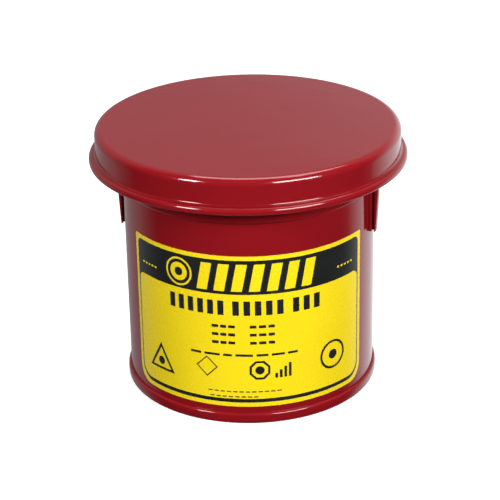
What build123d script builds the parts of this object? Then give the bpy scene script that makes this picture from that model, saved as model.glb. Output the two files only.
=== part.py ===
import os
from math import degrees, hypot, radians, sin

from build123d import *

# A one-quart bench safety can with a lift-off cover and a spring-loaded plunger.
# Millimetres. The origin is the centre of the base, +Z is up and -Y is the label side.

# Cylinder
body_radius = 60.5  # outside
sheet = 0.8  # steel sheet of the cylinder, base, drain pan and cover
body_top = 108.3  # top edge of the cylinder

# Folded seams
seam_proud = 1.4  # how far a seam stands out of the cylinder
seam_height = 5.4
seam_round = 1.0  # on the seam's outer corners
seam_foot = 1.2  # folded metal under the cylinder's lower edge
base_floor = 3.0  # underside of the base plate, above the ground

# Lapped seam down the back
lap_width = 7.0
lap_thickness = 0.6

# Drain pan on top of the cylinder
ledge_width = 12.5  # from the cylinder's outside in to the throat
throat_depth = 9.0
pan_overhang = 8.9  # from the cylinder's outside out to the middle of the rolled rim
pan_rim_height = 18.5  # middle of the rolled rim, above the cylinder
pan_rim_roll = 1.5
pan_bend = 2.0

# Cover
cover_clearance = 0.3  # between the cover's underside and the pan's rim
skirt_gap = 1.4  # between the cover's skirt and the pan's rim
corner_round = 3.3
brim_width = 3.1
brim_drop = 12.8  # from the top of the cover to the top of the brim
brim_round = 1.7
brim_cove = 1.3  # hollow round between skirt and brim
lip_depth = 3.4
hem_thickness = 1.0
hem_height = 1.7  # up to where the brim begins to turn in

# Plunger
dasher_clearance = 0.8  # between the plunger's ring and the throat
dasher_top_drop = 2.3  # from the cylinder's top edge to the top of the ring
ring_thickness = 1.6
ring_height = 6.0
plate_thickness = 1.0
plate_drop = 3.0  # from the top of the ring to the top of the plate
plate_hole_radius = 1.5
plate_hole_pitch = 5.6
plate_margin = 2.4  # plain metal at the plate's edge and round the boss
boss_margin = 0.6  # of the boss, round the spring
boss_thickness = 3.0
stem_radius = 3.5
screw_radius = 2.0
screw_length = 14.0
screw_head_radius = 4.2
screw_head_height = 2.4
screw_clearance = 0.1
slot_width = 1.1
slot_depth = 1.0
collar_thickness = 1.35
collar_height = 5.0
collar_end = 2.7  # stem left below the collar
plunger_stroke = 28.0
stroke_spare = 5.0  # left between boss and bush at the bottom of the stroke

# Guide on the base
tube_wall = 0.8
collar_clearance = 0.35  # of the collar in the tube
bush_fit = 0.06  # running clearance of the stem in the bush
bush_wall = 1.3
bush_height = 4.0
bush_overlap = 4.0
stop_gap = 0.3  # between the collar and the bush at rest
cup_wall = 0.9
cup_height = 4.2
cup_clearance = 0.7

# Return spring
wire_radius = 0.8
spring_clearance = 0.5  # inside the coil, to the bush
spring_turns = 11
spring_end_gap = 0.05

# Side lugs: channels that stand against the cylinder and hold up the drain pan's flare
lug_depth = 4.4  # out from the cylinder
lug_end_depth = 3.4  # at the lower end
lug_taper = 20.0  # how far up the taper runs
lug_width = 3.6
lug_round = 0.5  # on the outer long edges
lug_slot = 1.2  # width of the channel, which opens towards the label side
lug_web = 0.8  # wall at the back of the channel
lug_seam_gap = 0.4  # below the top seam
lugs = {"lug_right": (-19.0, 27.5), "lug_left": (170.0, 34.3)}  # angle, reach below the cylinder's top

# Label
label_thickness = 0.2
label_low = 8.7
label_top_gap = 16.3  # bare cylinder between the label and the top seam
label_middle_angle = -91.7
label_width = 127.8  # round the cylinder
label_corner = 3.5

# Worked out from the sizes above
seam_radius = body_radius + seam_proud
inner_radius = body_radius - sheet
throat_radius = body_radius - ledge_width
pan_rim_radius = body_radius + pan_overhang
base_top = base_floor + sheet
skirt_radius = pan_rim_radius + pan_rim_roll + skirt_gap + sheet
brim_radius = skirt_radius + brim_width
rim_middle = body_top + pan_rim_height
cover_top = rim_middle + pan_rim_roll + cover_clearance + sheet
brim_top = cover_top - brim_drop
lip_bottom = brim_top - lip_depth
ring_radius = throat_radius - dasher_clearance
ring_top = body_top - dasher_top_drop
plate_top = ring_top - plate_drop
plate_bottom = plate_top - plate_thickness
plate_radius = ring_radius - ring_thickness
boss_bottom = plate_bottom - boss_thickness
bush_top = boss_bottom - plunger_stroke - stroke_spare
tube_top = bush_top - bush_height
collar_top = tube_top - stop_gap
collar_bottom = collar_top - collar_height
stem_bottom = collar_bottom - collar_end
screw_bottom = plate_top - screw_length
cup_floor_top = base_top + cup_wall
collar_radius = stem_radius + collar_thickness
tube_radius = collar_radius + collar_clearance + tube_wall
bush_radius = tube_radius + bush_wall
coil_radius = bush_radius + spring_clearance + wire_radius
cup_radius = coil_radius + wire_radius + cup_clearance
boss_radius = coil_radius + wire_radius + boss_margin
seam_bottom = body_top - seam_height
label_high = seam_bottom - label_top_gap
label_arc = degrees(label_width / body_radius)
lug_arc = degrees(lug_width / body_radius)
web_arc = degrees(lug_web / body_radius)


def tube(outer, inner, low, high):
    with BuildPart() as made:
        with BuildSketch(Plane.XY.offset(low)):
            Circle(outer)
            Circle(inner, mode=Mode.SUBTRACT)
        extrude(amount=high - low)
    return made


def write(made, name):
    made.part.label = name
    export_step(made.part, f"parts/{name}.step")


os.makedirs("parts", exist_ok=True)

# Cylinder, standing in the folded seam at its foot
body_shell = tube(body_radius, inner_radius, seam_foot, body_top)
write(body_shell, "body_shell")

# The lap runs up the back between the two folded seams
lap_angle = degrees(lap_width / body_radius)
with BuildPart() as side_seam:
    with BuildSketch(Plane.YZ.rotated((0, 0, -lap_angle / 2))):
        with Locations((body_radius, seam_height)):
            Rectangle(lap_thickness, seam_bottom - seam_height, align=(Align.MIN, Align.MIN))
    revolve(axis=Axis.Z, revolution_arc=lap_angle)
write(side_seam, "side_seam")

# Base plate, set up inside the cylinder, with a wall turned down into the seam
with BuildPart() as base_pan:
    with BuildSketch(Plane.XZ):
        with BuildLine():
            Polyline(
                (0, base_floor),
                (inner_radius - sheet, base_floor),
                (inner_radius - sheet, seam_foot),
                (inner_radius, seam_foot),
                (inner_radius, base_top),
                (0, base_top),
                close=True,
            )
        make_face()
    revolve(axis=Axis.Z)
write(base_pan, "base_pan")

# Foot seam: flat underneath, wrapped up round the cylinder's lower edge
with BuildPart() as base_seam:
    with BuildSketch(Plane.XZ) as seam_section:
        with BuildLine():
            Polyline(
                (inner_radius - sheet, 0),
                (seam_radius, 0),
                (seam_radius, seam_height),
                (body_radius, seam_height),
                (body_radius, seam_foot),
                (inner_radius - sheet, seam_foot),
                close=True,
            )
        make_face()
        fillet(seam_section.vertices().group_by(Axis.X)[-1], seam_round)
    revolve(axis=Axis.Z)
write(base_seam, "base_seam")

# Top seam, where the cylinder and the drain pan are folded together
with BuildPart() as top_seam:
    with BuildSketch(Plane.XZ) as seam_section:
        with Locations((body_radius, body_top)):
            Rectangle(seam_proud, seam_height, align=(Align.MIN, Align.MAX))
        fillet(seam_section.vertices().group_by(Axis.X)[-1], seam_round)
    revolve(axis=Axis.Z)
write(top_seam, "top_seam")

# Drain pan: turned-down throat, flat floor over the cylinder's edge, flared wall up to the rim
with BuildPart() as drain_pan:
    with BuildSketch(Plane.XZ):
        with BuildLine():
            FilletPolyline(
                (throat_radius + sheet, body_top - throat_depth),
                (throat_radius + sheet, body_top),
                (seam_radius, body_top),
                (pan_rim_radius, rim_middle),
                radius=pan_bend,
            )
            offset(amount=sheet, side=Side.LEFT)
        make_face()
        with Locations((pan_rim_radius, rim_middle)):
            Circle(pan_rim_roll, mode=Mode.SUBTRACT)
    revolve(axis=Axis.Z)
write(drain_pan, "drain_pan")

with BuildPart() as pan_rim:
    with BuildSketch(Plane.XZ):
        with Locations((pan_rim_radius, rim_middle)):
            Circle(pan_rim_roll)
    revolve(axis=Axis.Z)
write(pan_rim, "pan_rim")

# Side lugs, tapered at the lower end, notched for the top seam and cut to the flare at the top
lug_face = body_radius + lug_depth
flare_slope = pan_rim_height / (pan_rim_radius - seam_radius)
for name, (angle, reach) in lugs.items():
    lug_bottom = body_top - reach
    lug_start = angle - lug_arc / 2
    slot_start = lug_start if abs(angle) < 90 else lug_start + web_arc
    with BuildPart() as lug:
        with BuildSketch(Plane.XZ.rotated((0, 0, lug_start))):
            with BuildLine():
                Polyline(
                    (body_radius, lug_bottom),
                    (body_radius + lug_end_depth, lug_bottom),
                    (lug_face, lug_bottom + lug_taper),
                    (lug_face, body_top + (lug_face - seam_radius) * flare_slope),
                    (seam_radius, body_top),
                    (seam_radius, seam_bottom - lug_seam_gap),
                    (body_radius, seam_bottom - lug_seam_gap),
                    close=True,
                )
            make_face()
        revolve(axis=Axis.Z, revolution_arc=lug_arc)
        long_edges = lug.edges().filter_by(
            lambda edge: hypot(edge.center().X, edge.center().Y) > body_radius + lug_end_depth
            and edge.bounding_box().size.Z > lug_taper / 2
        )
        fillet(long_edges, lug_round)
        with BuildSketch(Plane.XZ.rotated((0, 0, slot_start))):
            with Locations((seam_radius, lug_bottom)):
                Rectangle(lug_slot, reach + lug_depth * flare_slope, align=(Align.MIN, Align.MIN))
        revolve(axis=Axis.Z, revolution_arc=lug_arc - web_arc, mode=Mode.SUBTRACT)
    write(lug, name)

# Spring cup on the base plate
with BuildPart() as spring_cup:
    with BuildSketch(Plane.XY.offset(base_top)):
        Circle(cup_radius + cup_wall)
    extrude(amount=cup_height)
    with BuildSketch(Plane.XY.offset(cup_floor_top)):
        Circle(cup_radius)
    extrude(amount=cup_height, mode=Mode.SUBTRACT)
write(spring_cup, "spring_cup")

# Guide tube with the bush that holds the stem's collar down
guide_tube = tube(tube_radius, tube_radius - tube_wall, cup_floor_top, tube_top)
write(guide_tube, "guide_tube")

with BuildPart() as guide_bush:
    with BuildSketch(Plane.XY.offset(tube_top - bush_overlap)):
        Circle(bush_radius)
        Circle(tube_radius, mode=Mode.SUBTRACT)
    extrude(amount=bush_overlap)
    with BuildSketch(Plane.XY.offset(tube_top)):
        Circle(bush_radius)
        Circle(stem_radius + bush_fit, mode=Mode.SUBTRACT)
    extrude(amount=bush_height)
write(guide_bush, "guide_bush")

# Label: a thin skin wrapped on the front
with BuildPart() as front_label:
    with BuildSketch(Plane.XZ.rotated((0, 0, label_middle_angle - label_arc / 2))):
        with Locations((body_radius, label_low)):
            Rectangle(label_thickness, label_high - label_low, align=(Align.MIN, Align.MIN))
    revolve(axis=Axis.Z, revolution_arc=label_arc)
    corners = front_label.edges().filter_by(GeomType.LINE).filter_by(Axis.Z, reverse=True)
    fillet(corners, label_corner)
write(front_label, "front_label")

# Perforated plate, held by its screw through the middle
row_pitch = plate_hole_pitch * sin(radians(60))
rows = int(plate_radius / row_pitch)
across = int(plate_radius / plate_hole_pitch) + 1
hole_spots = []
for row in range(-rows, rows + 1):
    for place in range(-across, across + 1):
        x = (place + row % 2 / 2) * plate_hole_pitch
        y = row * row_pitch
        if boss_radius + plate_margin < hypot(x, y) < plate_radius - plate_margin:
            hole_spots.append((x, y))
with BuildPart() as dasher_plate:
    with BuildSketch(Plane.XY.offset(plate_bottom)):
        Circle(plate_radius)
        Circle(screw_radius + screw_clearance, mode=Mode.SUBTRACT)
        with Locations(*hole_spots):
            Circle(plate_hole_radius, mode=Mode.SUBTRACT)
    extrude(amount=plate_thickness)
write(dasher_plate, "dasher_plate")

dasher_rim = tube(ring_radius, plate_radius, ring_top - ring_height, ring_top)
write(dasher_rim, "dasher_rim")

dasher_boss = tube(boss_radius, screw_radius + screw_clearance, boss_bottom, plate_bottom)
write(dasher_boss, "dasher_boss")

with BuildPart() as dasher_stem:
    with BuildSketch(Plane.XY.offset(stem_bottom)):
        Circle(stem_radius)
    extrude(amount=boss_bottom - stem_bottom)
    with BuildSketch(Plane.XY.offset(screw_bottom)):
        Circle(screw_radius)
    extrude(amount=boss_bottom - screw_bottom, mode=Mode.SUBTRACT)
write(dasher_stem, "dasher_stem")

with BuildPart() as stem_screw:
    with BuildSketch(Plane.XY.offset(screw_bottom)):
        Circle(screw_radius)
    extrude(amount=screw_length)
    with BuildSketch(Plane.XY.offset(plate_top)):
        Circle(screw_head_radius)
    extrude(amount=screw_head_height)
    fillet(stem_screw.edges().group_by(Axis.Z)[-1], slot_depth)
    with BuildSketch(Plane.XY.offset(plate_top + screw_head_height)):
        Rectangle(2 * screw_head_radius, slot_width)
    extrude(amount=-slot_depth, mode=Mode.SUBTRACT)
write(stem_screw, "stem_screw")

stem_collar = tube(collar_radius, stem_radius, collar_bottom, collar_top)
write(stem_collar, "stem_collar")

# Return spring, from the cup's floor to the boss
coil_low = cup_floor_top + spring_end_gap + wire_radius
coil_high = boss_bottom - spring_end_gap - wire_radius
with BuildPart() as return_spring:
    with BuildLine() as coil:
        Helix(
            pitch=(coil_high - coil_low) / spring_turns,
            height=coil_high - coil_low,
            radius=coil_radius,
            center=(0, 0, coil_low),
        )
    with BuildSketch(Plane(coil.line @ 0, z_dir=coil.line % 0)):
        Circle(wire_radius)
    sweep(is_frenet=True)
write(return_spring, "return_spring")

# Cover: lip, brim, skirt and flat top in one pressing
with BuildPart() as lid_shell:
    with BuildSketch(Plane.XZ):
        with BuildLine():
            FilletPolyline(
                (brim_radius, lip_bottom),
                (brim_radius, brim_top),
                (skirt_radius, brim_top),
                (skirt_radius, cover_top),
                (0, cover_top),
                radius=[brim_round, brim_cove, corner_round],
            )
            offset(amount=sheet, side=Side.LEFT)
        make_face()
    revolve(axis=Axis.Z)
write(lid_shell, "lid_shell")

# The lip's edge is folded back up inside it
with BuildPart() as lid_hem:
    with BuildSketch(Plane.XZ) as hem_section:
        with Locations((brim_radius - sheet, lip_bottom)):
            Rectangle(hem_thickness, hem_height, align=(Align.MAX, Align.MIN))
        fillet(hem_section.vertices().group_by(Axis.X)[0], hem_thickness / 3)
    revolve(axis=Axis.Z)
write(lid_hem, "lid_hem")
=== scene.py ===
import bmesh
import bpy
import numpy as np
from mathutils import Matrix, Vector


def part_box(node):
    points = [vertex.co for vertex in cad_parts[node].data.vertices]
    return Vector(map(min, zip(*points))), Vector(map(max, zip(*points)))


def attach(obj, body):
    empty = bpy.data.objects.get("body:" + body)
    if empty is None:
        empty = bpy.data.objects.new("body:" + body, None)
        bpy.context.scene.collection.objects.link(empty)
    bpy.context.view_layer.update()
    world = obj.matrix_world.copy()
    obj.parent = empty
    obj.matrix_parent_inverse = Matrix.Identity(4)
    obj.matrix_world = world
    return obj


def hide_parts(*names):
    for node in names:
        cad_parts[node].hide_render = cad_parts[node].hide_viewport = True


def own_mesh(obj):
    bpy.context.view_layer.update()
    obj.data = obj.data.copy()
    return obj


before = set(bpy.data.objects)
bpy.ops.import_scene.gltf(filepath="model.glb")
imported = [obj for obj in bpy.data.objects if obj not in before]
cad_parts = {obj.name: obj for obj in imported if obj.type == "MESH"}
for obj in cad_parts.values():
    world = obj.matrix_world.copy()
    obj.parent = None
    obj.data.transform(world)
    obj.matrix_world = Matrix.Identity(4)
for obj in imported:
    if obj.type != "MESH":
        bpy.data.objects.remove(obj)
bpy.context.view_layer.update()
mm = 0.001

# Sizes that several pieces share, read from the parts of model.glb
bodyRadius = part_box("body_shell")[1].x
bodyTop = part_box("body_shell")[1].z
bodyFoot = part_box("body_shell")[0].z
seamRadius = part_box("top_seam")[1].x
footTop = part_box("base_seam")[1].z
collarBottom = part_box("top_seam")[0].z
sheetWall = 0.8 * mm
sharpTurn = 0.6 * mm  # a corner of one radian over this length counts as a full crest


def roundedPath(corners, radii, steps=8, closed=False):
    # Straight runs joined by tangent arcs. At each corner the arc starts radius * tan(half the turn)
    # before the corner, and its points turn evenly about its centre. An open path keeps its two ends.
    corners = np.asarray(corners, float)
    ring = np.concatenate([corners[-1:], corners, corners[:1]]) if closed else corners
    parts = [] if closed else [corners[:1]]
    for before, corner, after, radius in zip(ring, ring[1:], ring[2:], radii):
        inward = (before - corner) / np.linalg.norm(before - corner)
        onward = (after - corner) / np.linalg.norm(after - corner)
        halfAngle = np.arccos(np.clip(inward @ onward, -1, 1)) / 2
        bisector = (inward + onward) / np.linalg.norm(inward + onward)
        centre = corner + bisector * radius / np.sin(halfAngle)
        start = corner + inward * radius / np.tan(halfAngle) - centre
        side = np.sign(inward[1] * onward[0] - inward[0] * onward[1])
        t = np.linspace(0, np.pi - 2 * halfAngle, steps + 1) * side
        parts.append(centre + np.stack([start[0] * np.cos(t) - start[1] * np.sin(t),
                                        start[0] * np.sin(t) + start[1] * np.cos(t)], 1))
    if not closed:
        parts.append(corners[-1:])
    return np.concatenate(parts)


def offsetPath(path, distance):
    # The path moved to its left: each point goes along the mean of its two runs' normals,
    # lengthened by one over the cosine of half the turn.
    runs = np.diff(path, axis=0)
    runs /= np.linalg.norm(runs, axis=1, keepdims=True)
    normals = np.stack([-runs[:, 1], runs[:, 0]], 1)
    mean = np.concatenate([normals[:1], (normals[:-1] + normals[1:]) / 2, normals[-1:]])
    return path + distance * mean / (mean ** 2).sum(1, keepdims=True)


def sheetLoop(path, thickness):
    # A sheet's closed section: out along the path and back along its offset.
    return np.concatenate([path, offsetPath(path, thickness)[::-1]])


def braced(loop, guard=0.35 * mm):
    # Each run of the closed loop that is longer than four guards gets a point one guard from either
    # end, so that smooth shading stays flat along it.
    ahead = np.roll(loop, -1, 0)
    run = ahead - loop
    length = np.linalg.norm(run, axis=1, keepdims=True)
    share = guard / np.maximum(length, guard)
    long = length[:, 0] > 4 * guard
    points = np.stack([loop, loop + run * share, ahead - run * share], 1)
    return points[np.stack([np.ones_like(long), long, long], 1)]


def signedArea(loop):
    return (loop[:, 0] * np.roll(loop[:, 1], -1) - np.roll(loop[:, 0], -1) * loop[:, 1]).sum() / 2


def crest(loop):
    # How sharply the closed loop turns at each point, as the turn over the mean run beside it:
    # outer corners are above 0 and hollows below 0, whichever way the loop goes round.
    ahead = np.roll(loop, -1, 0) - loop
    behind = loop - np.roll(loop, 1, 0)
    turn = np.arctan2(behind[:, 0] * ahead[:, 1] - behind[:, 1] * ahead[:, 0], (behind * ahead).sum(1))
    run = (np.linalg.norm(ahead, axis=1) + np.linalg.norm(behind, axis=1)) / 2 + 0.01 * mm
    return np.clip(turn / run * sharpTurn, -1, 1) * np.sign(signedArea(loop))


def newPiece(name, points, faces, material, body, nodes, edge=None, sharp=35):
    mesh = bpy.data.meshes.new(name)
    mesh.from_pydata(points.tolist(), [], [[int(i) for i in face] for face in faces])
    if edge is not None:
        mesh.attributes.new("crest", "FLOAT", "POINT").data.foreach_set("value", edge.astype(np.float32))
    work = bmesh.new()
    work.from_mesh(mesh)
    bmesh.ops.remove_doubles(work, verts=work.verts, dist=1e-7)
    bmesh.ops.recalc_face_normals(work, faces=work.faces)
    work.to_mesh(mesh)
    work.free()
    mesh.shade_smooth()
    mesh.set_sharp_from_angle(angle=np.radians(sharp))
    mesh.materials.append(material)
    piece = bpy.data.objects.new(name, mesh)
    bpy.context.collection.objects.link(piece)
    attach(piece, body)
    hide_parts(*nodes)
    return piece


def tubeFaces(rows, count):
    # Quads between each row of a closed loop and the next, and a cap on either end
    j, i = np.meshgrid(np.arange(rows - 1), np.arange(count), indexing="ij")
    onward = (i + 1) % count
    sides = np.stack([j * count + i, j * count + onward, (j + 1) * count + onward, (j + 1) * count + i], -1)
    caps = [list(range(count))[::-1], list(range((rows - 1) * count, rows * count))]
    return sides.reshape(-1, 4).tolist() + caps


def turned(name, loop, material, body, nodes, segments=256):
    # A surface of revolution: every point (r, z) of the closed loop goes round the Z axis,
    # x = r cos a, y = r sin a. Points on the axis fall together into one.
    loop = braced(np.asarray(loop, float))
    angle = np.linspace(0, 2 * np.pi, segments, endpoint=False)[:, None]
    r, z = loop[:, 0][None], loop[:, 1][None]
    points = np.stack([r * np.cos(angle), r * np.sin(angle), z + 0 * angle], -1).reshape(-1, 3)
    count = len(loop)
    s, i = np.meshgrid(np.arange(segments), np.arange(count), indexing="ij")
    onward, turn = (i + 1) % count, (s + 1) % segments
    faces = np.stack([s * count + i, turn * count + i, turn * count + onward, s * count + onward], -1)
    offAxis = (loop[i, 0] > 1e-7) | (loop[onward, 0] > 1e-7)
    return newPiece(name, points, faces[offAxis], material, body, nodes, np.tile(crest(loop), segments))


def standing(name, loops, heights, middleAngle, material, body, nodes):
    # A bar that stands against the cylinder: row j is a closed loop of (sideways, outward) at
    # heights[j], bent round as angle = middle + sideways / radius, r = radius + outward.
    rows, count = loops.shape[:2]
    angle = middleAngle + loops[..., 0] / bodyRadius
    r = bodyRadius + loops[..., 1]
    z = np.broadcast_to(heights[:, None], r.shape)
    points = np.stack([r * np.cos(angle), r * np.sin(angle), z], -1).reshape(-1, 3)
    edge = np.concatenate([crest(loop) for loop in loops])
    return newPiece(name, points, tubeFaces(rows, count), material, body, nodes, edge)


def newMaterial(name, **settings):
    material = bpy.data.materials.new(name)
    material.use_nodes = True
    shader = material.node_tree.nodes["Principled BSDF"]
    for key, value in settings.items():
        shader.inputs[key].default_value = value
    return material, material.node_tree, shader


def addNode(tree, kind, links=None, **settings):
    node = tree.nodes.new(kind)
    for key, value in settings.items():
        setattr(node, key, value)
    for socket, source in (links or {}).items():
        if isinstance(source, bpy.types.NodeSocket):
            tree.links.new(source, node.inputs[socket])
        else:
            node.inputs[socket].default_value = source
    return node


def objectNoise(tree, scale, detail=2.0, stretch=(1, 1, 1)):
    place = addNode(tree, "ShaderNodeTexCoord").outputs["Object"]
    mapped = addNode(tree, "ShaderNodeMapping", {"Vector": place, "Scale": stretch})
    return addNode(tree, "ShaderNodeTexNoise",
                   {"Vector": mapped.outputs[0], "Scale": scale, "Detail": detail}).outputs["Fac"]


def spread(tree, value, low, high, fromLow=0.3, fromHigh=0.7):
    return addNode(tree, "ShaderNodeMapRange", {"Value": value, "From Min": fromLow, "From Max": fromHigh,
                                                "To Min": low, "To Max": high}).outputs[0]


def blendColours(tree, factor, first, second):
    return addNode(tree, "ShaderNodeMix", {0: factor, 6: first, 7: second}, data_type="RGBA").outputs[2]


redSettings = {
    "colour": (0.252, 0.0062, 0.0104, 1),
    "thin": (0.305, 0.0105, 0.0145, 1),  # where the coat is thin over an outer corner
    "darkMottleAndPaintedShade": (0.198, 0.0040, 0.0068, 1),  # darker clouds in the coat, and painted shade in the hollows
    "rough": (0.07, 0.14),
    "cloud": 14,  # waves per metre, as in the scales below
    "cloudShare": 0.35,
    "edgeShare": 0.8,
    "smudge": 55,
    "peel": 420,  # orange peel
    "wave": 26,  # the sheet's own slight unevenness
    "waveShare": 6.0,
    "bump": 0.05,
    "bumpDepth": 0.6 * mm,
}


def redPowderCoat():
    s = redSettings
    material, tree, shader = newMaterial("redPowderCoat", **{"Coat Weight": 0.2, "Coat Roughness": 0.04,
                                                            "Specular IOR Level": 0.42})
    cloud = objectNoise(tree, s["cloud"], 3)
    base = blendColours(tree, spread(tree, cloud, 0, s["cloudShare"]), s["colour"], s["darkMottleAndPaintedShade"])
    edge = addNode(tree, "ShaderNodeAttribute", attribute_name="crest").outputs["Fac"]
    base = blendColours(tree, spread(tree, edge, 0, s["edgeShare"], 0.05, 1), base, s["thin"])
    # Painted shade: the coat is darkened in the hollows and creases of each profile.
    base = blendColours(tree, spread(tree, edge, s["edgeShare"], 0, -0.8, -0.02), base, s["darkMottleAndPaintedShade"])
    tree.links.new(base, shader.inputs["Base Color"])
    smudge = objectNoise(tree, s["smudge"], 4)
    tree.links.new(spread(tree, smudge, *s["rough"]), shader.inputs["Roughness"])
    peel = objectNoise(tree, s["peel"], 1)
    wave = objectNoise(tree, s["wave"], 1)
    height = addNode(tree, "ShaderNodeMath", {0: wave, 1: s["waveShare"], 2: peel}, operation="MULTIPLY_ADD")
    bump = addNode(tree, "ShaderNodeBump", {"Strength": s["bump"], "Distance": s["bumpDepth"],
                                            "Height": height.outputs[0]})
    tree.links.new(bump.outputs[0], shader.inputs["Normal"])
    return material


metalSettings = {"cloud": 40, "dull": 0.72, "dullShare": 0.6, "rough": (0.75, 1.3), "bumpDepth": 0.2 * mm}


def metal(name, colour, rough, stretch=(1, 1, 12), scale=260, grain=0.12):
    # Bare metal: fine marks from rolling or turning, with duller clouds
    s = metalSettings
    material, tree, shader = newMaterial(name, **{"Metallic": 1.0})
    brushed = objectNoise(tree, scale, 3, stretch)
    cloud = spread(tree, objectNoise(tree, s["cloud"], 3), 0, s["dullShare"])
    dull = tuple(c * s["dull"] for c in colour[:3]) + (1,)
    tree.links.new(blendColours(tree, cloud, colour, dull), shader.inputs["Base Color"])
    low, high = s["rough"]
    tree.links.new(spread(tree, brushed, rough * low, rough * high), shader.inputs["Roughness"])
    bump = addNode(tree, "ShaderNodeBump", {"Strength": grain, "Distance": s["bumpDepth"], "Height": brushed})
    tree.links.new(bump.outputs[0], shader.inputs["Normal"])
    return material


filmSettings = {"cloud": 30, "fine": 900, "rough": (0.85, 1.2), "bump": 0.012, "bumpDepth": 0.1 * mm}


def printedFilm(name, colour, worn, rough):
    s = filmSettings
    material, tree, shader = newMaterial(name, **{"Coat Weight": 0.1, "Coat Roughness": 0.10})
    cloud = spread(tree, objectNoise(tree, s["cloud"], 4), 0, 1)
    tree.links.new(blendColours(tree, cloud, colour, worn), shader.inputs["Base Color"])
    fine = objectNoise(tree, s["fine"], 2)
    low, high = s["rough"]
    tree.links.new(spread(tree, fine, rough * low, rough * high), shader.inputs["Roughness"])
    bump = addNode(tree, "ShaderNodeBump", {"Strength": s["bump"], "Distance": s["bumpDepth"],
                                            "Height": fine})
    tree.links.new(bump.outputs[0], shader.inputs["Normal"])
    return material


red = redPowderCoat()
tinnedSteel = metal("tinnedSteel", (0.62, 0.61, 0.59, 1), 0.34)
plateSteel = metal("plateSteel", (0.66, 0.66, 0.65, 1), 0.28, (1, 1, 1), 500, 0.2)
springSteel = metal("springSteel", (0.42, 0.42, 0.43, 1), 0.26, (1, 1, 1), 700)
screwPlating = metal("screwPlating", (0.72, 0.72, 0.74, 1), 0.18, (1, 1, 1), 600)
bushBrass = metal("bushBrass", (0.72, 0.50, 0.20, 1), 0.24)
labelYellow = printedFilm("labelYellow", (0.98, 0.76, 0.012, 1), (0.95, 0.72, 0.010, 1), 0.26)
labelBlack = printedFilm("labelBlack", (0.010, 0.011, 0.011, 1), (0.016, 0.018, 0.018, 1), 0.30)
print("materials made")

canSettings = {
    "seamShoulder": 1.1 * mm,  # round on the seams' outer corners
    "seamCrown": 0.12 * mm,  # how much a seam bulges between its corners
    "ringRadius": 45 * mm,  # the base plate is pressed in inside this ring
    "ringWidth": 3 * mm,
    "ringDepth": 0.5 * mm,
    "ringRound": 4 * mm,
    "edgeRound": 0.9 * mm,
    "seamTight": 0.1 * mm,  # rounds on the seams' inner corners
    "seamUnder": 0.3 * mm,  # round under the foot
}


def canWall():
    inner = bodyRadius - sheetWall
    loop = [(inner, bodyFoot), (bodyRadius, bodyFoot), (bodyRadius, bodyTop), (inner, bodyTop)]
    piece = turned("canWall", loop, red, "can", ["body_shell"])
    piece.data.materials.append(tinnedSteel)
    centres = np.zeros(len(piece.data.polygons) * 3, np.float32)
    piece.data.polygons.foreach_get("center", centres)
    radius = np.hypot(*centres.reshape(-1, 3)[:, :2].T)
    piece.data.polygons.foreach_set("material_index", (radius < inner + sheetWall / 2).astype(np.int32))


def foldedSeam(name, node, aroundEdge):
    # Section: straight on the cylinder side, and outside a slight bulge between two rounds.
    # The foot's seam also goes under the cylinder's lower edge.
    low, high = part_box(node)[0].z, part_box(node)[1].z
    shoulder, tight = canSettings["seamShoulder"], canSettings["seamTight"]
    outer = seamRadius - canSettings["seamCrown"]
    corners = [(bodyRadius, high), (outer, high), (seamRadius, (low + high) / 2), (outer, low)]
    radii = [tight, shoulder, (high - low) * 2, shoulder]
    if aroundEdge:
        inner = bodyRadius - 2 * sheetWall
        corners += [(inner, low), (inner, bodyFoot), (bodyRadius, bodyFoot)]
        radii += [canSettings["seamUnder"], tight, tight]
    else:
        corners += [(bodyRadius, low)]
        radii += [tight]
    turned(name, roundedPath(corners, radii, 6, closed=True), red, "can", [node])


def basePlate():
    # The plate turns down into the seam at its edge, and its middle is pressed in by a shallow ring.
    s = canSettings
    low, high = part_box("base_pan")[0].z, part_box("base_pan")[1].z
    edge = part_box("base_pan")[1].x
    step = high - s["ringDepth"]
    corners = [(0, step), (s["ringRadius"] - s["ringWidth"], step), (s["ringRadius"], high),
               (edge, high), (edge, low)]
    path = roundedPath(corners, [s["ringRound"], s["ringRound"], s["edgeRound"]], 6)
    turned("basePlate", sheetLoop(path, -sheetWall), red, "can", ["base_pan"])


lapSettings = {
    "width": 7 * mm,
    "step": 0.6 * mm,  # the upper sheet's edge
    "feather": 4 * mm,  # where it runs into the cylinder on the other side
    "tuck": 0.1 * mm,  # how far it reaches into the cylinder's wall
    "middle": 90,  # degrees, on the back
    "across": 25,  # points
    "rows": 12,
}


def backLap():
    # Outward height of the strip: it rises by a cosine over the feather to the full step.
    s = lapSettings
    side = np.linspace(-1, 1, s["across"]) * s["width"] / 2
    rise = np.clip((side + s["width"] / 2) / s["feather"], 0, 1)
    height = s["step"] * (1 - np.cos(np.pi * rise)) / 2
    height[-1] -= s["tuck"]
    loop = np.concatenate([np.stack([side, height], 1),
                           np.stack([side[[-1, 0]], [-s["tuck"], -s["tuck"]]], 1)])
    heights = np.linspace(footTop, collarBottom, s["rows"])
    loops = np.broadcast_to(loop, (len(heights), *loop.shape))
    standing("backLap", loops, heights, np.radians(s["middle"]), red, "can", ["side_seam"])


panSettings = {
    "ledge": 12.5 * mm,  # from the cylinder's outside in to the throat
    "throatDepth": 9 * mm,
    "bend": 2 * mm,
    "rimRoll": 1.5 * mm,
    "curlNick": 0.22 * mm,  # groove where the rolled edge comes back to the wall
    "curlAngle": -2.3,  # where the groove is round the roll, in radians
    "curlWidth": 0.22,
}


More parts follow.
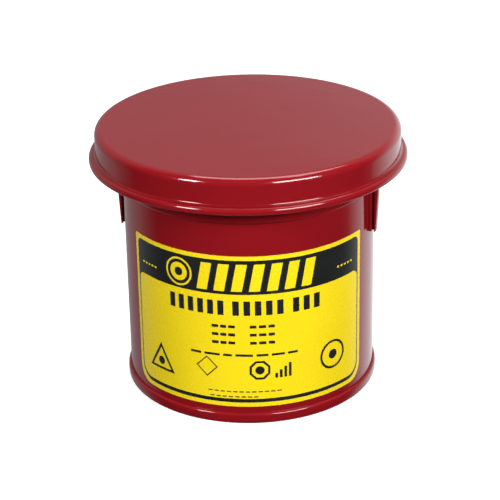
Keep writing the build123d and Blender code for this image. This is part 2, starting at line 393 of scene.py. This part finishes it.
def drainPan():
    s = panSettings
    throat = bodyRadius - s["ledge"] + sheetWall
    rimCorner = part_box("pan_rim")[1]
    rim = (rimCorner.x - s["rimRoll"], rimCorner.z - s["rimRoll"])
    corners = [(throat, bodyTop - s["throatDepth"]), (throat, bodyTop), (seamRadius, bodyTop), rim]
    path = roundedPath(corners, [s["bend"], s["bend"]], 8)
    turned("drainPan", sheetLoop(path, sheetWall), red, "can", ["drain_pan"])
    # The roll's radius dips by a bell curve at the groove.
    around = np.linspace(-np.pi, np.pi, 40, endpoint=False)
    radius = s["rimRoll"] - s["curlNick"] * np.exp(-((around - s["curlAngle"]) / s["curlWidth"]) ** 2)
    loop = np.stack([rim[0] + radius * np.cos(around), rim[1] + radius * np.sin(around)], 1)
    turned("panRim", loop, red, "can", ["pan_rim"])


lugSettings = {
    "depth": 4.4 * mm,
    "endDepth": 3.4 * mm,
    "taper": 20 * mm,
    "width": 3.6 * mm,
    "slot": 1.2 * mm,
    "web": 0.8 * mm,
    "edgeRound": 0.45 * mm,
    "slotRound": 0.25 * mm,
    "endDraw": 0.35 * mm,  # how far the lower end is drawn in
    "endRound": 0.9 * mm,
    "straightFrom": 2 * mm,  # above the lower end
    "thinLeg": 0.35 * mm,  # of the inner leg where it passes the top seam
    "thinFrom": 0.7 * mm,  # below the seam, between the next two
    "lastWide": 1 * mm,
    "firstThin": 0.4 * mm,
    "lug_right": {"angle": -19.0, "slotSide": -1},
    "lug_left": {"angle": 170.0, "slotSide": 1},
}


def sideLug(name, node):
    # A channel whose slot opens to one side. Its outer leg grows from the lower end to the full depth
    # over the taper, and its inner leg thins above the seam's lower edge.
    s = lugSettings
    slotLow = seamRadius - bodyRadius
    slotHigh = slotLow + s["slot"]
    half, back = s["width"] / 2, s["width"] / 2 - s["web"]
    corners = [(-half, 0), (-half, slotLow), (back, slotLow), (back, slotHigh), (-half, slotHigh),
               (-half, s["depth"]), (half, s["depth"]), (half, 0)]
    small, large = s["slotRound"], s["edgeRound"]
    loop = roundedPath(corners, [small, small, small, small, small, large, large, small], 4, closed=True)
    loop[:, 0] *= -s[node]["slotSide"]
    low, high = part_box(node)[0].z, bodyTop
    heights = np.concatenate([low + s["endRound"] * np.linspace(0, 1, 6) ** 1.5,
                              np.linspace(low + s["straightFrom"], collarBottom - s["lastWide"], 24),
                              np.linspace(collarBottom - s["firstThin"], high, 6)])
    up = (heights - low)[:, None]
    depth = s["endDepth"] + (s["depth"] - s["endDepth"]) * np.clip(up / s["taper"], 0, 1)
    grow = (depth - slotHigh) / (s["depth"] - slotHigh)
    thin = np.where(heights[:, None] > collarBottom - s["thinFrom"], s["thinLeg"] / slotLow, 1.0)
    outward = np.broadcast_to(loop[:, 1], (len(heights), len(loop)))
    outward = np.where(outward > slotHigh, slotHigh + (outward - slotHigh) * grow, outward)
    outward = np.where(outward < slotLow, slotLow - (slotLow - outward) * thin, outward)
    # The lower end is drawn in by a quarter circle over its last stretch.
    ease = 1 - np.sqrt(1 - (1 - np.clip(up / s["endRound"], 0, 1)) ** 2)
    outward = outward - ease * s["endDraw"] * (outward > slotHigh)
    sideways = loop[None, :, 0] * (1 - ease * s["endDraw"] / half)
    loops = np.stack([sideways, outward], -1)
    standing(name, loops, heights, np.radians(s[node]["angle"]), red, "can", [node])


canWall()
foldedSeam("canFoot", "base_seam", True)
foldedSeam("canCollar", "top_seam", False)
basePlate()
backLap()
drainPan()
sideLug("lugRight", "lug_right")
sideLug("lugLeft", "lug_left")
print("can body made")

coverSettings = {
    "brimWidth": 3.1 * mm,
    "brimDrop": 12.8 * mm,
    "corner": 3.3 * mm,
    "cove": 1.3 * mm,
    "brimRound": 1.7 * mm,
    "foldWidth": 1.8 * mm,  # of the lip's folded edge
    "foldHeight": 1.9 * mm,
    "sag": 0.15 * mm,  # how much lower the middle of the top is
    "sagShare": 0.8,  # of the skirt's radius, where the top is level again
    "sagRound": 200 * mm,
    "foldGap": 0.01 * mm,
}


def coverShell():
    # Top, skirt, cove, brim and lip in one pressing, with the lip's edge folded up inside.
    s = coverSettings
    brim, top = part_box("lid_shell")[1].x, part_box("lid_shell")[1].z
    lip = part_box("lid_shell")[0].z
    skirt, brimTop = brim - s["brimWidth"], top - s["brimDrop"]
    fold = brim - s["foldWidth"]
    corners = [(0, top - s["sag"]), (skirt * s["sagShare"], top), (skirt, top), (skirt, brimTop),
               (brim, brimTop), (brim, lip), (fold, lip), (fold, lip + s["foldHeight"])]
    tight = s["foldWidth"] / 2 - s["foldGap"]
    path = roundedPath(corners, [s["sagRound"], s["corner"], s["cove"], s["brimRound"], tight, tight], 10)
    turned("coverShell", sheetLoop(path, -sheetWall), red, "cover", ["lid_shell", "lid_hem"],
           320)


coverShell()
print("cover made")

sleeveSettings = {
    "cup": {"wall": 0.9 * mm, "round": 0.5 * mm},
    "tube": {"wall": 0.8 * mm, "round": 0.15 * mm},
    "bush": {"bore": 3.56 * mm, "overlap": 4 * mm, "round": 0.3 * mm},
    "ring": {"wall": 1.6 * mm, "round": 0.5 * mm},
    "boss": {"bore": 2.1 * mm, "round": 0.4 * mm},
    "stem": {"bore": 2 * mm, "depth": 10 * mm, "round": 0.6 * mm, "topRound": 0.1 * mm, "mouth": 0.2 * mm},
    "collar": {"wall": 1.35 * mm, "round": 0.25 * mm},
}


def sleeve(name, node, inner, edge, body, segments=96):
    # A plain steel ring between two radii, its four edges rounded
    low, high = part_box(node)[0].z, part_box(node)[1].z
    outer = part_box(node)[1].x
    loop = roundedPath([(inner, low), (outer, low), (outer, high), (inner, high)], [edge] * 4, 4, closed=True)
    turned(name, loop, plateSteel, body, [node], segments)


def springCup():
    s = sleeveSettings["cup"]
    low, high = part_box("spring_cup")[0].z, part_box("spring_cup")[1].z
    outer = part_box("spring_cup")[1].x
    path = roundedPath([(0, low), (outer, low), (outer, high)], [s["round"] + s["wall"]], 6)
    turned("springCup", sheetLoop(path, s["wall"]), plateSteel, "can", ["spring_cup"], 96)


def guideBush():
    s = sleeveSettings["bush"]
    low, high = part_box("guide_bush")[0].z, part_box("guide_bush")[1].z
    outer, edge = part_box("guide_bush")[1].x, s["round"]
    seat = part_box("guide_tube")[1].x
    corners = [(seat, low), (outer, low), (outer, high), (s["bore"], high),
               (s["bore"], low + s["overlap"]), (seat, low + s["overlap"])]
    loop = roundedPath(corners, [edge, edge, edge, edge, edge / 2, edge / 2], 4, closed=True)
    turned("guideBush", loop, bushBrass, "can", ["guide_bush"], 96)


def plungerStem():
    s = sleeveSettings["stem"]
    low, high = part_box("dasher_stem")[0].z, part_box("dasher_stem")[1].z
    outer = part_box("dasher_stem")[1].x
    corners = [(0, low), (outer, low), (outer, high), (s["bore"], high), (s["bore"], high - s["depth"]),
               (0, high - s["depth"])]
    path = roundedPath(corners, [s["round"], s["topRound"], s["mouth"], s["topRound"]], 4)
    turned("plungerStem", path, plateSteel, "plunger", ["dasher_stem"], 96)


springSettings = {
    "turns": 11,
    "wire": 0.8 * mm,
    "endTurns": 0.8,  # part of a turn at either end that lies nearly flat
    "endShare": 0.3,  # of the normal rise, over those turns
    "steps": 60,  # a turn
    "wirePoints": 14,
    "stroke": 28 * mm,
}


def returnSpring():
    # A circle carried along a helix: the rise per turn eases from low at the ends to even between,
    # and each ring of wire points lies across the helix's direction.
    s = springSettings
    low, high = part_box("return_spring")[0].z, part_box("return_spring")[1].z
    coil = (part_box("return_spring")[1].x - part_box("return_spring")[0].x) / 2 - s["wire"]
    turn = np.linspace(0, s["turns"], s["turns"] * s["steps"] + 1)
    nearEnd = np.minimum(turn, s["turns"] - turn) / s["endTurns"]
    rate = s["endShare"] + (1 - s["endShare"]) * np.clip(nearEnd - 0.5, 0, 1)
    rise = np.concatenate([[0], np.cumsum((rate[1:] + rate[:-1]) / 2)])
    z = low + s["wire"] + (high - low - 2 * s["wire"]) * rise / rise[-1]
    a = 2 * np.pi * turn
    line = np.stack([coil * np.cos(a), coil * np.sin(a), z], 1)
    along = np.gradient(line, axis=0)
    along /= np.linalg.norm(along, axis=1, keepdims=True)
    outward = np.stack([np.cos(a), np.sin(a), 0 * a], 1)
    across = np.cross(along, outward)
    w = np.linspace(0, 2 * np.pi, s["wirePoints"], endpoint=False)[None, :, None]
    points = line[:, None] + s["wire"] * (np.cos(w) * outward[:, None] + np.sin(w) * across[:, None])
    spring = newPiece("returnSpring", points.reshape(-1, 3), tubeFaces(len(turn), s["wirePoints"]),
                      springSteel, "can", ["return_spring"])
    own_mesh(spring)


def repaint(node, material):
    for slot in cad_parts[node].material_slots:
        slot.material = material


def outerRadius(node):
    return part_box(node)[1].x


springCup()
sleeve("guideTube", "guide_tube", outerRadius("guide_tube") - sleeveSettings["tube"]["wall"],
       sleeveSettings["tube"]["round"], "can")
guideBush()
sleeve("plungerRing", "dasher_rim", outerRadius("dasher_rim") - sleeveSettings["ring"]["wall"],
       sleeveSettings["ring"]["round"], "plunger", 192)
sleeve("plungerBoss", "dasher_boss", sleeveSettings["boss"]["bore"], sleeveSettings["boss"]["round"],
       "plunger")
sleeve("stemCollar", "stem_collar", outerRadius("stem_collar") - sleeveSettings["collar"]["wall"],
       sleeveSettings["collar"]["round"], "plunger")
plungerStem()
returnSpring()
repaint("dasher_plate", plateSteel)
repaint("stem_screw", screwPlating)
print("plunger made")

labelSettings = {
    "middle": -91.7,  # degrees
    "half": 63.9,  # the label's half width along the cylinder, and the other lengths below, in mm
    "low": 8.7,
    "high": 86.6,
    "corners": (8.5, 8.5, 1.2, 1.2),  # from the lower left, anticlockwise
    "filmThick": 0.14,
    "inkThick": 0.05,
    "strip": 1.5,  # the flat faces are cut this wide before they are bent round the cylinder
}


def outline(left, right, low, high, corners, steps=6):
    # A rectangle with rounded corners, anticlockwise from the lower left
    path = [(left, low), (right, low), (right, high), (left, high)]
    return roundedPath(path, np.broadcast_to(corners, 4), steps, closed=True)


def disc(s, z, radius, sides=32, turn=0.0):
    t = turn + np.linspace(0, 2 * np.pi, sides, endpoint=False)
    return np.stack([s + radius * np.cos(t), z + radius * np.sin(t)], 1)


def slanted(left, right, low, high, lean):
    return np.array([(left, low), (right, low), (right + lean, high), (left + lean, high)])


def filledShape(outlines):
    # A flat mesh of one outline and its holes. Each point is joined to the next of its own outline,
    # start + (place - start + 1) mod size, and the rings of edges are then filled with triangles.
    size = np.array([len(path) for path in outlines])
    start, around = np.repeat(np.cumsum(size) - size, size), np.repeat(size, size)
    place = np.arange(size.sum())
    edges = np.stack([place, start + (place - start + 1) % around], 1)
    mesh = bpy.data.meshes.new("filledShape")
    mesh.from_pydata(np.pad(np.concatenate(outlines), ((0, 0), (0, 1))).tolist(), edges.tolist(), [])
    work = bmesh.new()
    work.from_mesh(mesh)
    bmesh.ops.triangle_fill(work, edges=work.edges[:], use_beauty=True, normal=(0, 0, 1))
    work.to_mesh(mesh)
    work.free()
    return mesh


def bentPrint(name, shapes, base, thick, material):
    # Flat shapes, each an outline with its holes, are filled, cut into narrow strips, thickened, and
    # bent round the cylinder: angle = middle + s / radius, r = radius + base + height.
    work = bmesh.new()
    for outlines in shapes:
        shape = filledShape(outlines)
        work.from_mesh(shape)
        bpy.data.meshes.remove(shape)
    half = labelSettings["half"]
    for s in np.arange(-half, half, labelSettings["strip"])[1:]:
        geometry = work.verts[:] + work.edges[:] + work.faces[:]
        bmesh.ops.bisect_plane(work, geom=geometry, plane_co=(s, 0, 0), plane_no=(1, 0, 0), dist=1e-5)
    raised = bmesh.ops.extrude_face_region(work, geom=work.faces[:])["geom"]
    upper = [v for v in raised if isinstance(v, bmesh.types.BMVert)]
    bmesh.ops.translate(work, vec=(0, 0, thick), verts=upper)
    mesh = bpy.data.meshes.new(name + "Flat")
    work.to_mesh(mesh)
    work.free()
    flat = np.zeros(len(mesh.vertices) * 3, np.float32)
    mesh.vertices.foreach_get("co", flat)
    s, z, height = (flat.reshape(-1, 3).astype(float) * mm).T
    angle = np.radians(labelSettings["middle"]) + s / bodyRadius
    r = bodyRadius + base * mm + height
    points = np.stack([r * np.cos(angle), r * np.sin(angle), z], 1)
    faces = [list(face.vertices) for face in mesh.polygons]
    bpy.data.meshes.remove(mesh)
    return newPiece(name, points, faces, material, "can", ["front_label"], sharp=50)


def blocks(starts, widths, low, high, corner=0.25):
    # Plain bars in a row, in place of words: each start has one bar of its width
    return [[outline(a, a + w, low, high, corner, 2)] for a, w in zip(starts, widths)]


def ring(middle, radii, sides=32, turn=0.0):
    return [disc(*middle, radius, sides, turn) for radius in radii]


printSettings = {
    "frame": (-61.7, 61.7, 10.9, 84.5),
    "frameCorners": (8.0, 8.0, 3.0, 3.0),
    "field": (-61.0, 61.0, 12.8, 67.3),
    "fieldCorners": (6.5, 6.5, 3.5, 3.5),
    "stripes": (-24.0, 34.0, 68.9, 82.6),
    "stripeCount": 7,
    "stripeShare": 0.62,
    "stripeLean": 2.6,
    "badge": {"middle": (-33.4, 75.6), "radius": 7.2, "ring": (0.86, 0.64), "dot": 0.3},
    "ticks": {"starts": (-57.6, 46.0), "count": 5, "pitch": 2.3, "width": 1.3, "low": 73.0, "high": 74.0},
    "headings": ((-38.7, 4.95, 6), (-6.9, 5.2, 5), (21.5, 5.4, 3)),  # start, pitch, count
    "headingHeight": (56.6, 64.0),
    "headingShare": 0.58,
    "rows": {
        "middles": (50.8, 46.6, 42.4),
        "half": 0.75,
        "bars": ((-17.0, 3.2), (-12.9, 2.9), (-9.1, 3.2), (1.0, 3.1), (5.2, 3.4), (9.7, 3.0)),  # start, width
    },
    "wideRow": {
        "start": -28.0,
        "gap": 1.6,
        "low": 35.3,
        "high": 36.5,
        "widths": (5.4, 7.6, 4.2, 8.3, 5.6, 6.2, 4.8),
    },
    "triangle": {"middle": (-46.0, 25.2), "radii": (9.6, 7.1), "dot": 2.1, "dotSides": 20},
    "diamond": {"middle": (-19.85, 29.1), "radii": (5.4, 4.6)},
    "octagon": {"middle": (5.4, 28.0), "radii": (5.3, 4.1), "dot": 2.2, "dotSides": 16},
    "steps": {"start": 12.6, "pitch": 2.2, "width": 1.3, "count": 4, "low": 23.4, "high": 26.0, "rise": 1.6},
    "circle": {"middle": (43.2, 29.0), "radii": (7.5, 6.3), "dot": 2.5, "dotSides": 24},
    "footRows": {
        "pitch": 3.0,
        "width": 2.1,
        "rows": ((-19.5, 12, 16.3, 16.9), (-18.6, 8, 13.6, 14.2)),  # start, count, low, high
    },
}


def bandHoles():
    # What shows yellow through the black band: slanted stripes, a round badge and small ticks
    p = printSettings
    left, right, low, high = p["stripes"]
    pitch = (right - left) / p["stripeCount"]
    starts = left + pitch * np.arange(p["stripeCount"])
    holes = [slanted(a, a + pitch * p["stripeShare"], low, high, p["stripeLean"]) for a in starts]
    holes += [disc(*p["badge"]["middle"], p["badge"]["radius"])]
    tick = p["ticks"]
    for start in tick["starts"]:
        places = start + tick["pitch"] * np.arange(tick["count"])
        holes += [outline(a, a + tick["width"], tick["low"], tick["high"], 0.2, 2) for a in places]
    return holes


def wordBars():
    # Black bars in place of words: three headings, three short rows, one wide row and two at the foot
    p, marks = printSettings, []
    for start, pitch, count in p["headings"]:
        widths = [pitch * p["headingShare"]] * count
        marks += blocks(start + pitch * np.arange(count), widths, *p["headingHeight"])
    rows, wide, foot = p["rows"], p["wideRow"], p["footRows"]
    for middle in rows["middles"]:
        marks += blocks(*zip(*rows["bars"]), middle - rows["half"], middle + rows["half"])
    widths = np.array(wide["widths"])
    starts = wide["start"] + np.cumsum(widths + wide["gap"]) - widths - wide["gap"]
    marks += blocks(starts, widths, wide["low"], wide["high"])
    for start, count, low, high in foot["rows"]:
        marks += blocks(start + foot["pitch"] * np.arange(count), [foot["width"]] * count, low, high, 0.2)
    return marks


def sign(kind, sides, turn=0.0):
    # An outlined shape of so many sides, with a dot in it where the settings give one
    s = printSettings[kind]
    shapes = [ring(s["middle"], s["radii"], sides, turn)]
    if "dot" in s:
        shapes += [[disc(*s["middle"], s["dot"], s["dotSides"])]]
    return shapes


def plainSigns():
    # A triangle, a diamond, an octagon, a circle and four steps, each a plain shape that says nothing
    signs = sign("triangle", 3, np.pi / 2) + sign("diamond", 4)
    signs += sign("octagon", 8, np.pi / 8) + sign("circle", 32)
    steps = printSettings["steps"]
    for k in range(steps["count"]):
        start, high = steps["start"] + k * steps["pitch"], steps["high"] + k * steps["rise"]
        signs += blocks([start], [steps["width"]], steps["low"], high, 0.3)
    return signs


def labelFilm():
    s = labelSettings
    shape = [[outline(-s["half"], s["half"], s["low"], s["high"], s["corners"])]]
    sunk = 0.02
    bentPrint("labelFilm", shape, -sunk, s["filmThick"] + sunk, labelYellow)


def labelPrint():
    p, ink = printSettings, labelSettings["inkThick"]
    band = [outline(*p["frame"], p["frameCorners"]), outline(*p["field"], p["fieldCorners"])] + bandHoles()
    badge, radius = p["badge"], p["badge"]["radius"]
    middle = badge["middle"]
    shapes = [band, ring(middle, np.multiply(badge["ring"], radius))]
    shapes += [[disc(*middle, badge["dot"] * radius, 20)]] + wordBars() + plainSigns()
    bentPrint("labelPrint", shapes, labelSettings["filmThick"] - ink / 2, ink, labelBlack)


labelFilm()
labelPrint()
print("label made")

view = {
    "focal": 130.8,
    "sensor": 36,
    "distance": 812.7 * mm,
    "height": 430.3 * mm,
    "down": 24.345,  # degrees, and the roll too
    "roll": -1.10,
}


def placeCamera():
    camera = bpy.data.objects.new("camera", bpy.data.cameras.new("camera"))
    camera.data.lens = view["focal"]
    camera.data.sensor_width = view["sensor"]
    tilt = Matrix.Rotation(np.radians(90 - view["down"]), 4, "X")
    roll = Matrix.Rotation(np.radians(view["roll"]), 4, "Z")
    place = Matrix.Translation((0, -view["distance"], view["height"]))
    camera.matrix_world = place @ tilt @ roll
    bpy.context.collection.objects.link(camera)
    bpy.context.scene.camera = camera


lightSettings = {
    "aim": (0, 0, 0.08),
    "keyLight": {"angle": -55, "distance": 1.0, "height": 0.60, "size": (0.60, 0.30), "power": 13.8},
    "fillLight": {"angle": -134, "distance": 1.0, "height": 0.60, "size": (0.25, 0.30), "power": 7.6},
    "topLight": {"angle": 70, "distance": 0.5, "height": 1.6, "size": (1.2, 0.8), "power": 15.0},
}


def softLight(name):
    # A soft box at an angle round the can, turned towards it
    s = lightSettings[name]
    light = bpy.data.lights.new(name, "AREA")
    light.shape = "RECTANGLE"
    light.size, light.size_y = s["size"]
    light.energy = s["power"]
    lamp = bpy.data.objects.new(name, light)
    around = np.radians(s["angle"])
    place = Vector((s["distance"] * np.cos(around), s["distance"] * np.sin(around), s["height"]))
    facing = (Vector(lightSettings["aim"]) - place).to_track_quat("-Z", "Y")
    lamp.matrix_world = Matrix.Translation(place) @ facing.to_matrix().to_4x4()
    lamp.visible_camera = False
    bpy.context.collection.objects.link(lamp)


studioSettings = {
    "dark": (0.030, 0.031, 0.033, 1),  # in front
    "wall": (0.35, 0.35, 0.36, 1),  # behind
    "window": (1.15, 1.15, 1.17, 1),  # behind on the right
    "wallEdge": (0.05, 0.45),  # how far towards the back the wall begins, and where it is full
    "windowAim": (0.5, 0.8, -0.2),
    "windowEdge": (0.68, 0.90),
    "floor": (0.82, 0.82, 0.82, 1),
    "floorGlow": 0.72,  # keeps the floor pale in the soft light
    "floorRough": 0.6,
    "floorSize": 12,
    "floorDrop": 0.2 * mm,
}


def studio():
    # A room with a pale wall behind and a brighter one on the right, by the world's own direction
    s = studioSettings
    world = bpy.data.worlds.new("studio")
    bpy.context.scene.world = world
    world.use_nodes = True
    tree = world.node_tree
    direction = addNode(tree, "ShaderNodeTexCoord").outputs["Generated"]
    towardsBack = addNode(tree, "ShaderNodeSeparateXYZ", {0: direction}).outputs[1]
    colour = blendColours(tree, spread(tree, towardsBack, 0, 1, *s["wallEdge"]), s["dark"], s["wall"])
    towardsWindow = addNode(tree, "ShaderNodeVectorMath", {0: direction, 1: s["windowAim"]},
                            operation="DOT_PRODUCT").outputs["Value"]
    colour = blendColours(tree, spread(tree, towardsWindow, 0, 1, *s["windowEdge"]), colour, s["window"])
    tree.links.new(colour, tree.nodes["Background"].inputs["Color"])
    material, _, shader = newMaterial("paleFloor", **{"Roughness": s["floorRough"]})
    shader.inputs["Base Color"].default_value = s["floor"]
    shader.inputs["Emission Color"].default_value = s["floor"]
    shader.inputs["Emission Strength"].default_value = s["floorGlow"]
    bpy.ops.mesh.primitive_plane_add(size=s["floorSize"], location=(0, 0, -s["floorDrop"]))
    floor = bpy.context.object
    floor.name = "floor"
    floor.visible_glossy = False
    floor.visible_diffuse = False
    floor.data.materials.append(material)
    bpy.context.scene.view_settings.view_transform = "Standard"


placeCamera()
softLight("keyLight")
softLight("fillLight")
softLight("topLight")
studio()
print("studio set")
